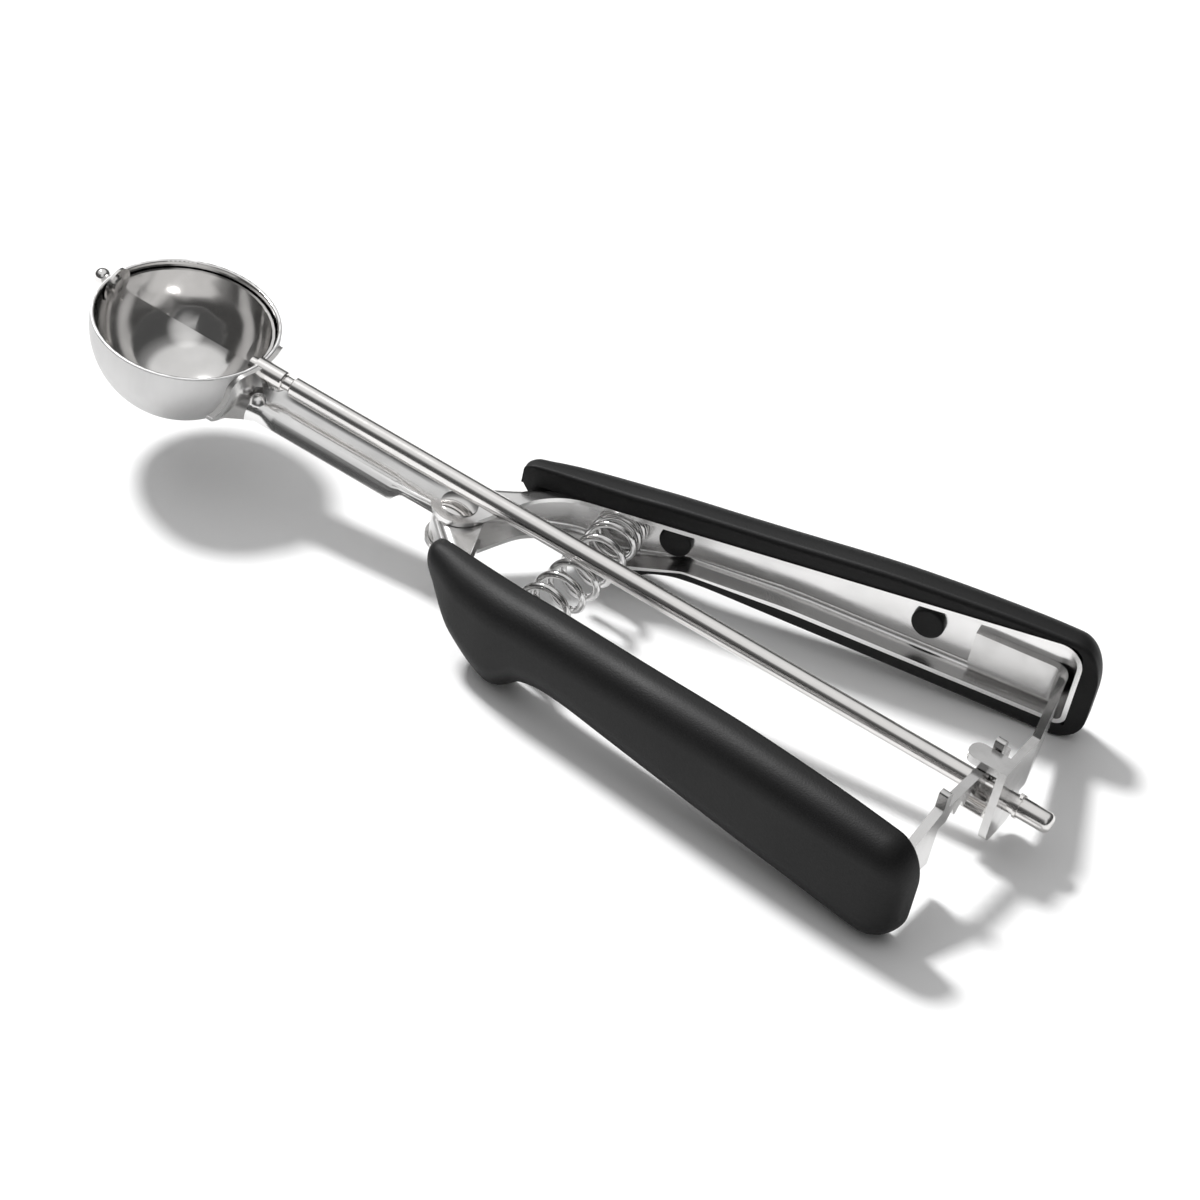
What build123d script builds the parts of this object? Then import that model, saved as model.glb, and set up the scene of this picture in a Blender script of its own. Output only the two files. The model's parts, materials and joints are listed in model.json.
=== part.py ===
"""Cookie scoop with a squeeze lever: a bowl, two gripped handles and a rack-driven scraper.

Lengths are in millimetres and angles in degrees. The pieces are modelled in a working frame whose X axis is the
scraper rod (bowl centre at the origin, +X to the rear). +Y points to the fixed handle and +Z out of the bowl.
At the end the whole scoop is tipped until it lies on the undersides of its two grips.
"""
import os
from math import acos, atan2, cos, degrees, pi, radians, sin, sqrt, tan

from build123d import *

OVERRUN = 2.0            # how far a cutting shape runs past what it cuts

# Bowl
BOWL_OUTER_R = 17.5
BOWL_WALL = 0.8
RIM_RISE = 1.4           # upright rim above the scraper axis
RIM_ROUND = 0.3

# Scraper blade and its front pivot
BLADE_GAP = 0.3          # blade to bowl
BLADE_T = 0.5
BLADE_SPAN = 44.0        # angle that the band covers
BLADE_TAB_R = 3.4
STUD_BALL_R = 1.6
STUD_SHANK_R = 0.8
STUD_HEAD_R = 1.5
STUD_HEAD_T = 0.6
STUD_BALL_GAP = 0.15
PIN_PLAY = 0.05          # radial play of turning pins
PRESS_PLAY = 0.01        # radial play of fixed pins

# Rod, bush and clip
ROD_D = 3.8
JOURNAL_D = 2.6
JOURNAL_HEAD_T = 0.7
BUSH_D = 3.75
BUSH_LENGTH = 6.0
SHOULDER_GAP = 1.8       # bare journal between the bush and the rod's shoulder
SHOULDER_CHAMFER = 0.3
ROD_TAIL = 6.5           # rod behind the clip
TIP_ROUND = 1.2
CLIP_STEP = 3.1          # clip behind the bracket's middle plane
CLIP_WIRE = 0.6
CLIP_GROOVE_DEPTH = 0.3
CLIP_SWEEP = 318.0
CLIP_TAIL = 0.9

# Pinion and rack
MODULE = 0.95
PINION_TEETH = 9
PRESSURE_ANGLE = 30.0
PINION_ADDENDUM = 0.78
PINION_DEDENDUM = 1.0
PINION_LENGTH = 4.6
FLANK_STEPS = 4
RACK_ADDENDUM = 0.8
RACK_DEDENDUM = 1.0
BACKLASH = 0.24
SCRAPER_SWEEP = 150.0    # turn of the scraper from open to squeezed
RACK_INSET = 4.3         # rack's middle plane, at half travel, ahead of the handles' rear ends
RACK_T = 1.8
RACK_BACK = 2.3          # metal over the tooth roots
RACK_END = 9.0           # strip's end past the rod at half travel
RACK_SPACES = (-3, 3)    # first and last tooth space, counted from the rod
EAR_T = 1.6
EAR_RISE = 3.4
EAR_ROUND = 0.6
STOP_GAP = 0.3

# Guide bracket
BRACKET_T = 1.5
BRACKET_STEP = 3.7       # bracket's middle plane, where the rod passes, behind the rack's
BRACKET_DEPTH = 10.6     # height of the plate and strip
BRACKET_FOOT = 7.4       # bearing end below the rod axis
BRACKET_KNEE_Y = 7.0
BRACKET_NOSE_Y = 5.0
BEARING_ROUND = 2.6
TAB_REACH = 3.8          # tab's front end ahead of the rack's middle plane
TAB_FAR_Y = 0.7
TAB_GAP = 0.2            # tab to rack
TAB_ROUND = 1.9
BEND_R = 2.6
PLATE_SPAN = 20.0        # front edge of both plates, ahead of their channels' rear ends
PLATE_INSET = 3.0        # corner where the bracket turns to the rod, ahead of the channel's rear end
SEAT_GAP = 0.02          # plates to webs, and webs to grips
PLATE_TOP_Z = 2.6        # both plates lie between these heights
PLATE_LOW_Z = -4.8

# Pivot
PIVOT_X = 62.3
STEEL_T = 0.9
EAR_R = 5.2
NOSE_R = 4.6
EAR_TOP_Z = -4.5
EAR_SPAN = 8.4           # outside height over both ears
NOSE_GAP = 0.15          # lever nose to ear, above and below
RIVET_R = 2.0
RIVET_HEAD_R = 3.4
RIVET_HEAD_T = 0.9
RIVET_DOME_R = 9.0

# Neck and saddle
NECK_HALF_W = 5.0
NECK_WALL_H = 3.1        # outside height of the neck's side walls
NECK_ROUND = 2.2
NECK_FLARE = 2.6         # extra half width at the bowl
NECK_FLARE_R = 14.0
NECK_OPEN_X = 53.0       # the near wall ends here so that the lever can swing
NECK_DROP_LENGTH = 6.5   # over this length the walls deepen to the ears
NECK_DROP_R = 4.0
NECK_NOTCH_R = 2.2       # round notch that ends the near wall
NECK_BUMP_R = 1.9        # pressed bumps that stiffen the bend under the bush
NECK_BUMP_Y = 2.7
NECK_BUMP_RISE = 1.0
SADDLE_HALF_W = 8.0
SADDLE_HIGH_Z = 1.3
SADDLE_LOW_Z = -12.0
SADDLE_ROUND = 3.0

# Handles, in a frame with its origin on the pivot: u to the rear, v outwards
HANDLE_ANGLE = 9.5       # each handle to the rod, open
CHANNEL_LENGTH = 113.0
CHANNEL_REAR_TOP = 11.0
CHANNEL_REAR_LOW = -7.0
CHANNEL_LIP_V = 12.1
CHANNEL_DEPTH = 5.2
CHANNEL_ROUND = 2.2
CHANNEL_END_R = 4.4
SHANK_U = 8.0            # the channel starts to rise here
SHANK_R = 20.0
SHOULDER_U = 18.0        # corner of the web's plan line, rounded by the next value
SHOULDER_R = 10.0
HIP_V = 6.8              # the fixed web's line passes the pivot this far out
HIP_R = 8.0
LIP_CORNER_U = 12.5      # corner of the lip's plan line, rounded by the next value
LIP_CORNER_R = 12.0
# Corners of the channel's lower edge: share of length, share of the ears' span below the ears, and the rounding
CHANNEL_LOW_SHARES = ((0.235, 0.27), (0.35, -0.23), (0.53, -0.58))
CHANNEL_LOW_R = (12.0, 7.0, 15.0, 40.0)

# Grips
GRIP_FRONT_U = 6.5
GRIP_TAIL = 2.3          # grip's end behind the channel's
GRIP_STEP = 0.3          # grip's inner face behind the channel's lip
GRIP_DEPTH = 8.2
GRIP_HEIGHT = 20.0       # scale of the grip's side outline
GRIP_EDGE_R = 0.9
GRIP_BACK_R = 5.6        # between the back and the top
GRIP_UNDER_R = 6.8       # between the back and the underside
# Share of length, top and bottom as shares of height from the rod axis, depth share, share of the radii
GRIP_SHARES = (
    (0.000, -0.030, -0.250, 0.42, 0.30),
    (0.030, 0.000, -0.460, 0.68, 0.65),
    (0.100, 0.045, -0.790, 0.91, 0.90),
    (0.190, 0.105, -0.930, 0.99, 1.00),
    (0.290, 0.175, -0.655, 0.98, 1.00),
    (0.430, 0.275, -0.590, 0.98, 1.00),
    (0.680, 0.450, -0.540, 1.00, 1.00),
    (0.900, 0.580, -0.525, 0.97, 1.00),
    (0.975, 0.570, -0.490, 0.80, 0.80),
    (1.000, 0.470, -0.370, 0.55, 0.50),
)
PEG_R = 2.3
PEG_HEAD_R = 3.1
PEG_HEAD_T = 1.2
PEG_SHARES = (0.32, 0.745)   # places along the channel
REST_SHARE = 0.75            # share of the grip's length between the two places it lies on
REST_ROUNDS = 4

# Spring
SPRING_U = 26.0
SPRING_RISE = 0.60           # spring axis above the middle of the ears
SPRING_WIRE = 1.4
SPRING_MEAN_R = 4.2
SPRING_END_TURNS = 2         # close-wound turns at each end
SPRING_OPEN_TURNS = 7
SPRING_END_PITCH = 2.0
SPRING_SEAT_GAP = 0.12
ARCS_PER_TURN = 2
TURN_STEP = 0.001            # part of a turn over which the wire's direction is taken
GAP_STEPS = 24               # places in a turn where the gap between coils is measured
SEAT_BOSS_R = 2.8
SEAT_BOSS_H = 1.2

# Worked-out values
RACK_X = PIVOT_X + CHANNEL_LENGTH - RACK_INSET
BRACKET_X = RACK_X + BRACKET_STEP
TAB_FRONT_X = RACK_X - TAB_REACH
CLIP_X = BRACKET_X + CLIP_STEP
ROD_TIP_X = CLIP_X + ROD_TAIL
PLATE_START_U = CHANNEL_LENGTH - PLATE_SPAN
PLATE_BEND_U = CHANNEL_LENGTH - PLATE_INSET
GRIP_LENGTH = CHANNEL_LENGTH + GRIP_TAIL - GRIP_FRONT_U
GRIP_INNER_V = CHANNEL_LIP_V + GRIP_STEP
BOWL_INNER_R = BOWL_OUTER_R - BOWL_WALL
BLADE_OUTER_R = BOWL_INNER_R - BLADE_GAP
BLADE_INNER_R = BLADE_OUTER_R - BLADE_T
BUSH_END_X = BOWL_INNER_R + BUSH_LENGTH
SHOULDER_X = BUSH_END_X + SHOULDER_GAP
EAR_LOW_Z = EAR_TOP_Z - EAR_SPAN
WEB_V = CHANNEL_LIP_V + CHANNEL_DEPTH
WEB_INNER_V = WEB_V - STEEL_T
PITCH_R = MODULE * PINION_TEETH / 2
TOOTH_PITCH = pi * MODULE
RACK_TIP_Z = PITCH_R - RACK_ADDENDUM
RACK_ROOT_Z = PITCH_R + RACK_DEDENDUM
RACK_TOP_Z = RACK_ROOT_Z + RACK_BACK
TAB_LOW_Z = RACK_TOP_Z + TAB_GAP
BRACKET_TOP_Z = TAB_LOW_Z + BRACKET_T
LEVER_REACH = RACK_X - PIVOT_X
LEVER_TRAVEL = SCRAPER_SWEEP * PITCH_R / LEVER_REACH
HALF_STROKE = LEVER_REACH * radians(LEVER_TRAVEL / 2)
SPRING_Z = EAR_TOP_Z - EAR_SPAN / 2 + SPRING_RISE
ON_BASE = (Align.CENTER, Align.CENTER, Align.MIN)


def along_rod(radius, x_start, x_end):
    """A cylinder on the rod's axis."""
    return Plane.YZ.offset(x_start) * Cylinder(radius, x_end - x_start, align=ON_BASE)


def upright(radius, z_low, z_high):
    """A cylinder on the pivot's axis, in the handle frame."""
    return Pos(0, 0, z_low) * Cylinder(radius, z_high - z_low, align=ON_BASE)


def across_web(radius, u, z, v_start, v_end):
    """A cylinder square to a channel's web, in the handle frame."""
    plane = Plane(origin=(u, v_start, z), x_dir=(1, 0, 0), z_dir=(0, 1, 0))
    return plane * Cylinder(radius, v_end - v_start, align=ON_BASE)


def on_fixed(shape):
    """Place a shape of the handle frame on the fixed side."""
    return Location((PIVOT_X, 0, 0), (0, 0, HANDLE_ANGLE)) * shape


def on_lever(shape):
    """Place a shape of the handle frame, mirrored, on the lever side at its open position."""
    return Location((PIVOT_X, 0, 0), (0, 0, -HANDLE_ANGLE)) * mirror(shape, about=Plane.XZ)


def handle_point(u, v, angle):
    """Plan point, in the working frame, of a handle that stands at an angle to the rod."""
    c, s = cos(radians(angle)), sin(radians(angle))
    return Vector(PIVOT_X + u * c - v * s, u * s + v * c)


def sheet(path, thickness, z_low, z_high):
    """Upright sheet metal along a plan path."""
    lifted = Pos(0, 0, (z_low + z_high) / 2) * path
    plane = Plane(origin=lifted @ 0, x_dir=(0, 0, 1), z_dir=lifted % 0)
    return sweep(plane * Rectangle(z_high - z_low, thickness), path=lifted)


def cut_sheet(path, thickness, outline):
    """Upright sheet metal along a plan path, cut to an outline of y and z."""
    heights = [z for _, z in outline]
    cutter = extrude(Plane.YZ * make_face(Polyline(*outline, close=True)), ROD_TIP_X)
    return sheet(path, thickness, min(heights), max(heights)) & cutter


def bowl():
    """Half sphere with an upright rim, bored for the bush at the back and the stud at the front."""
    section = make_face([
        CenterArc((0, 0), BOWL_OUTER_R, -90, 90),
        Line((BOWL_OUTER_R, 0), (BOWL_OUTER_R, RIM_RISE)),
        Line((BOWL_OUTER_R, RIM_RISE), (BOWL_INNER_R, RIM_RISE)),
        Line((BOWL_INNER_R, RIM_RISE), (BOWL_INNER_R, 0)),
        CenterArc((0, 0), BOWL_INNER_R, 0, -90),
        Line((0, -BOWL_INNER_R), (0, -BOWL_OUTER_R)),
    ])
    shell = revolve(Plane.XZ * section, Axis.Z)
    shell = fillet(shell.edges().filter_by(GeomType.CIRCLE).group_by(Axis.Z)[-1], RIM_ROUND)
    back_bore = along_rod(BUSH_D / 2 + PRESS_PLAY, 0, BOWL_OUTER_R + OVERRUN)
    front_bore = along_rod(STUD_SHANK_R + PIN_PLAY, -BOWL_OUTER_R - OVERRUN, 0)
    return shell - back_bore - front_bore


def scraper_blade():
    """Thin band of a sphere that lies along the fixed side of the bowl, with a round tab at each pivot."""
    section = make_face([
        CenterArc((0, 0), BLADE_OUTER_R, 0, 180),
        Line((-BLADE_OUTER_R, 0), (-BLADE_INNER_R, 0)),
        CenterArc((0, 0), BLADE_INNER_R, 180, -180),
        Line((BLADE_INNER_R, 0), (BLADE_OUTER_R, 0)),
    ])
    band = revolve(section, Axis.X, revolution_arc=-BLADE_SPAN)
    shell = Sphere(BLADE_OUTER_R) - Sphere(BLADE_INNER_R)
    tabs = shell & along_rod(BLADE_TAB_R, -BOWL_OUTER_R, BOWL_OUTER_R)
    back_hole = along_rod(JOURNAL_D / 2 + PRESS_PLAY, 0, BOWL_OUTER_R)
    front_hole = along_rod(STUD_SHANK_R + PRESS_PLAY, -BOWL_OUTER_R, 0)
    return band + tabs - back_hole - front_hole


def scraper_stud():
    """Ball-headed pivot at the front of the bowl."""
    ball_x = -(BOWL_OUTER_R + STUD_BALL_GAP + STUD_BALL_R)
    head_x = -sqrt(BLADE_INNER_R ** 2 - STUD_HEAD_R ** 2)
    shank = along_rod(STUD_SHANK_R, ball_x, head_x + STUD_HEAD_T)
    head = along_rod(STUD_HEAD_R, head_x, head_x + STUD_HEAD_T)
    return Pos(ball_x, 0, 0) * Sphere(STUD_BALL_R) + shank + head


def rod_bush():
    """Sleeve through the saddle and the bowl's wall."""
    start = sqrt(BOWL_INNER_R ** 2 - (BUSH_D / 2) ** 2)
    tube = along_rod(BUSH_D / 2, start, BUSH_END_X)
    return tube - along_rod(JOURNAL_D / 2 + PIN_PLAY, 0, BUSH_END_X + OVERRUN)


def scraper_rod():
    """Turned rod: journal through the bush, shoulder, clip groove and domed tip."""
    rod = along_rod(ROD_D / 2, SHOULDER_X, ROD_TIP_X)
    rod = chamfer(rod.edges().group_by(Axis.X)[0], SHOULDER_CHAMFER)
    rod = fillet(rod.edges().group_by(Axis.X)[-1], TIP_ROUND)
    core = along_rod(ROD_D / 2 - CLIP_GROOVE_DEPTH, CLIP_X - CLIP_WIRE, CLIP_X + CLIP_WIRE)
    rod -= along_rod(ROD_D, CLIP_X - CLIP_WIRE / 2, CLIP_X + CLIP_WIRE / 2) - core
    journal_x = sqrt(BLADE_INNER_R ** 2 - (JOURNAL_D / 2) ** 2) - JOURNAL_HEAD_T
    return rod + along_rod(JOURNAL_D / 2, journal_x, SHOULDER_X)


def rod_clip():
    """Snap ring in the rod's groove, with one end turned up."""
    inner = ROD_D / 2 - CLIP_GROOVE_DEPTH + PRESS_PLAY
    thick = CLIP_WIRE - PRESS_PLAY * 2
    section = Pos(CLIP_X, inner + CLIP_WIRE / 2) * Rectangle(thick, CLIP_WIRE)
    ring = revolve(section, Axis.X, revolution_arc=CLIP_SWEEP)
    tail = Box(thick, CLIP_WIRE / 2 + CLIP_TAIL, CLIP_WIRE, align=(Align.CENTER, Align.MIN, Align.MIN))
    return Rot(90, 0, 0) * (ring + Pos(CLIP_X, inner + CLIP_WIRE / 2, 0) * tail)


def involute(radius):
    """Involute angle of the pinion's flank at a radius."""
    angle = acos(min(1.0, PITCH_R * cos(radians(PRESSURE_ANGLE)) / radius))
    return tan(angle) - angle


def pinion():
    """Involute pinion on the rod, turned to mesh with the rack at the open position."""
    tip_r, root_r = PITCH_R + PINION_ADDENDUM, PITCH_R - PINION_DEDENDUM
    base_r = max(root_r, PITCH_R * cos(radians(PRESSURE_ANGLE)))
    half_tooth = pi / (2 * PINION_TEETH) - BACKLASH / (4 * PITCH_R)
    radii = [base_r + (tip_r - base_r) * i / FLANK_STEPS for i in range(FLANK_STEPS + 1)]
    flank = [(r, half_tooth + involute(PITCH_R) - involute(r)) for r in radii]
    flank.insert(0, (root_r, flank[0][1]))
    points = []
    for k in range(PINION_TEETH):
        middle = pi / 2 + 2 * pi * k / PINION_TEETH
        points += [(r * cos(middle - a), r * sin(middle - a)) for r, a in flank]
        points += [(r * cos(middle + a), r * sin(middle + a)) for r, a in reversed(flank)]
    start = RACK_X - PINION_LENGTH / 2
    wheel = extrude(Plane.YZ.offset(start) * make_face(Polyline(*points, close=True)), PINION_LENGTH)
    bore = along_rod(ROD_D / 2 + PRESS_PLAY, start - OVERRUN, start + PINION_LENGTH + OVERRUN)
    return Rot(degrees(HALF_STROKE / PITCH_R), 0, 0) * wheel - bore


def lever_rack():
    """Toothed strip with a stop ear at each end, bent into a plate on the lever's web.

    It is made at half travel, where the strip stands square to the rod, and then turned to the open position.
    """
    angle = HANDLE_ANGLE - LEVER_TRAVEL / 2
    plate_v = WEB_INNER_V - RACK_T / 2 - SEAT_GAP
    bend_u = (LEVER_REACH + plate_v * sin(radians(angle))) / cos(radians(angle))
    start, bend = handle_point(PLATE_START_U, plate_v, angle), handle_point(bend_u, plate_v, angle)
    path = FilletPolyline(start, bend, (RACK_X, -RACK_END), radius=BEND_R)
    tip_ear = HALF_STROKE - TAB_FAR_Y + STOP_GAP
    root_ear = -BRACKET_NOSE_Y - HALF_STROKE - STOP_GAP
    foot_end = root_ear - EAR_T
    lip_y = handle_point(bend_u, CHANNEL_LIP_V, angle).Y
    strip = [(-RACK_END - OVERRUN, RACK_TIP_Z), (-RACK_END - OVERRUN, RACK_TOP_Z), (-foot_end, RACK_TOP_Z)]
    plate = [(lip_y, PLATE_TOP_Z), (CHANNEL_LENGTH, PLATE_TOP_Z), (CHANNEL_LENGTH, PLATE_LOW_Z)]
    foot = [(-foot_end, PLATE_LOW_Z), (-foot_end, RACK_TIP_Z)]
    rack = mirror(cut_sheet(path, RACK_T, strip + plate + foot), about=Plane.XZ)
    slope = tan(radians(PRESSURE_ANGLE))
    half_space = TOOTH_PITCH / 4 + BACKLASH / 4
    root_half, mouth_half = half_space - RACK_DEDENDUM * slope, half_space + RACK_ADDENDUM * slope
    space = make_face(Polyline((-mouth_half, RACK_TIP_Z - OVERRUN), (-mouth_half, RACK_TIP_Z),
                               (-root_half, RACK_ROOT_Z), (root_half, RACK_ROOT_Z),
                               (mouth_half, RACK_TIP_Z), (mouth_half, RACK_TIP_Z - OVERRUN), close=True))
    cutter = extrude(Plane.YZ.offset(RACK_X) * space, RACK_T, both=True)
    for k in range(RACK_SPACES[0], RACK_SPACES[1] + 1):
        rack -= Pos(0, k * TOOTH_PITCH, 0) * cutter
    for ear_y in (tip_ear, foot_end):
        ear = Box(RACK_T, EAR_T, RACK_BACK + EAR_RISE, align=(Align.CENTER, Align.MIN, Align.MIN))
        ear = fillet(ear.edges().filter_by(Axis.X).group_by(Axis.Z)[-1], EAR_ROUND)
        rack += Pos(RACK_X, ear_y, RACK_ROOT_Z) * ear
    return Location((PIVOT_X, 0, 0), (0, 0, -LEVER_TRAVEL / 2)) * Pos(-PIVOT_X, 0, 0) * rack


def guide_bracket():
    """Plate on the fixed web, bent into a strip that carries the rod's end and the tab over the rack."""
    plate_v = WEB_INNER_V - BRACKET_T / 2 - SEAT_GAP
    corners = [handle_point(u, plate_v, HANDLE_ANGLE) for u in (PLATE_START_U, PLATE_BEND_U)]
    corners += [Vector(BRACKET_X, BRACKET_KNEE_Y), Vector(BRACKET_X, -BRACKET_NOSE_Y)]
    path = FilletPolyline(*corners, radius=BEND_R)
    low_z = BRACKET_TOP_Z - BRACKET_DEPTH
    lip_y = handle_point(PLATE_BEND_U, CHANNEL_LIP_V, HANDLE_ANGLE).Y
    strip_end = -BRACKET_NOSE_Y - OVERRUN
    strip = [(strip_end, low_z), (strip_end, BRACKET_TOP_Z), (BRACKET_KNEE_Y, BRACKET_TOP_Z)]
    plate = [(lip_y, PLATE_TOP_Z), (CHANNEL_LENGTH, PLATE_TOP_Z), (CHANNEL_LENGTH, PLATE_LOW_Z)]
    bracket = cut_sheet(path, BRACKET_T, strip + plate + [(lip_y, PLATE_LOW_Z), (BRACKET_KNEE_Y, low_z)])
    foot_height = BRACKET_TOP_Z + BRACKET_FOOT
    foot = Box(BRACKET_T, BRACKET_NOSE_Y * 2, foot_height, align=(Align.CENTER, Align.CENTER, Align.MAX))
    foot = fillet(foot.edges().filter_by(Axis.X).group_by(Axis.Z)[0], BEARING_ROUND)
    bracket += Pos(BRACKET_X, 0, BRACKET_TOP_Z) * foot
    tab_length, tab_width = BRACKET_X + BRACKET_T / 2 - TAB_FRONT_X, BRACKET_NOSE_Y - TAB_FAR_Y
    tab = Box(tab_length, tab_width, BRACKET_T, align=(Align.MIN, Align.MIN, Align.MIN))
    tab = fillet(tab.edges().filter_by(Axis.Z).group_by(Axis.X)[0], TAB_ROUND)
    bracket += Pos(TAB_FRONT_X, -BRACKET_NOSE_Y, TAB_LOW_Z) * tab
    return bracket - along_rod(ROD_D / 2 + PIN_PLAY, BRACKET_X - BRACKET_T * 2, BRACKET_X + BRACKET_T * 2)


def channel_top(u):
    """Height of the channel's straight top line at a place along it."""
    share = (u - SHANK_U) / (CHANNEL_LENGTH - SHANK_U)
    return EAR_TOP_Z + share * (CHANNEL_REAR_TOP - EAR_TOP_Z)


def channel_side(nose_top, nose_low):
    """Side outline of a handle channel, u along and z up, from ahead of the pivot to its rear end."""
    front = -EAR_R * 2
    low = [(a * CHANNEL_LENGTH, EAR_LOW_Z - b * EAR_SPAN) for a, b in CHANNEL_LOW_SHARES]
    low = [(front, nose_low), (SHANK_U, nose_low)] + low + [(CHANNEL_LENGTH, CHANNEL_REAR_LOW)]
    joggle = [(SHANK_U * 2, channel_top(SHANK_U * 2))] if nose_top < EAR_TOP_Z else []
    top = [(front, nose_top), (SHANK_U, nose_top)] + joggle + [(CHANNEL_LENGTH, CHANNEL_REAR_TOP), low[-1]]
    return make_face([
        FilletPolyline(*low, radius=CHANNEL_LOW_R),
        FilletPolyline(*top, radius=[SHANK_R] * (1 + len(joggle)) + [CHANNEL_END_R]),
        Line(low[0], top[0]),
    ])


def channel_plan(web):
    """Plan outline of a handle channel whose web starts with the given corners."""
    rear = (CHANNEL_LENGTH, CHANNEL_LIP_V)
    lip = (LIP_CORNER_U, CHANNEL_LIP_V)
    inner = (NOSE_R, -NOSE_R / 2)
    return make_face([
        web_line(web, rear),
        FilletPolyline(rear, lip, inner, radius=LIP_CORNER_R),
        Line(inner, web[0]),
    ])


def open_plan(web, front):
    """Plan of a channel with everything on its open side, from a front line on."""
    rear = (CHANNEL_LENGTH, -WEB_V)
    return make_face([
        web_line(web, rear),
        Line(rear, (front, -WEB_V)),
        Line((front, -WEB_V), web[0]),
    ])


def web_line(web, rear):
    """The web's plan line: its first corners, the shoulder, the round rear corner and the rear end."""
    radii = ([HIP_R] if len(web) > 1 else []) + [SHOULDER_R, CHANNEL_END_R]
    return FilletPolyline(*web, (SHOULDER_U, WEB_V), (CHANNEL_LENGTH, WEB_V), rear, radius=radii)


def prism(plan, side):
    """Solid with a plan outline and a side outline."""
    height = CHANNEL_LENGTH
    tall = extrude(Pos(0, 0, -height / 2) * plan, height)
    return tall & extrude(Plane.XZ * side, height, both=True)


def round_web(solid, radius):
    """Round the edges where a channel's web and rear end turn into its flanges."""
    edges = []
    for face in solid.faces():
        normal = face.normal_at()
        if abs(normal.Z) < 0.1 and (normal.Y > 0.2 or normal.X > 0.9):
            edges += [e for e in face.edges() if abs(e.tangent_at(0.5).Z) < 0.7]
    unique = [e for i, e in enumerate(edges) if not any(e.is_same(other) for other in edges[:i])]
    return fillet(unique, radius)


def fixed_web():
    """First corners of the fixed web: where it leaves the neck's far wall, and its hip beside the pivot."""
    c, s = cos(radians(HANDLE_ANGLE)), sin(radians(HANDLE_ANGLE))
    x, y = NECK_OPEN_X + STEEL_T - PIVOT_X, NECK_HALF_W
    return [(x * c + y * s, y * c - x * s), (0, HIP_V)]


def lever_web():
    """Where the lever's web leaves its round nose, on the tangent to the shoulder's corner."""
    reach = sqrt(SHOULDER_U ** 2 + WEB_V ** 2)
    lean = atan2(WEB_V, SHOULDER_U) + acos(NOSE_R / reach)
    return [(NOSE_R * cos(lean), NOSE_R * sin(lean))]


def fixed_block():
    """The fixed channel as a filled block, in the handle frame."""
    return prism(channel_plan(fixed_web()), channel_side(EAR_TOP_Z, EAR_LOW_Z))


def lever_sides():
    """The lever's side outline; its nose fits between the ears."""
    gap = STEEL_T + NOSE_GAP
    return channel_side(EAR_TOP_Z - gap, EAR_LOW_Z + gap)


def lever_block():
    """The lever channel as a filled block, in the handle frame."""
    return prism(channel_plan(lever_web()), lever_sides())


def channel_mid(u):
    """Middle height of the channel's open side at a place along it."""
    rear_share = (EAR_LOW_Z - CHANNEL_REAR_LOW) / EAR_SPAN
    table = list(CHANNEL_LOW_SHARES) + [(1, rear_share)]
    for (a0, b0), (a1, b1) in zip(table, table[1:]):
        if a0 <= u / CHANNEL_LENGTH <= a1:
            drop = b0 + (b1 - b0) * (u / CHANNEL_LENGTH - a0) / (a1 - a0)
    return (channel_top(u) + EAR_LOW_Z - drop * EAR_SPAN) / 2


def finish_web(arm, block):
    """Press the spring seat into a channel's web and pierce it for the grip's pegs."""
    arm += block & across_web(SEAT_BOSS_R, SPRING_U, SPRING_Z, WEB_INNER_V - SEAT_BOSS_H, WEB_V)
    arm -= across_web(SEAT_BOSS_R - STEEL_T, SPRING_U, SPRING_Z, WEB_V - SEAT_BOSS_H, WEB_V + OVERRUN)
    for share in PEG_SHARES:
        u = share * CHANNEL_LENGTH
        arm -= across_web(PEG_R + PRESS_PLAY, u, channel_mid(u), CHANNEL_LIP_V, WEB_V + OVERRUN)
    return arm


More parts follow.
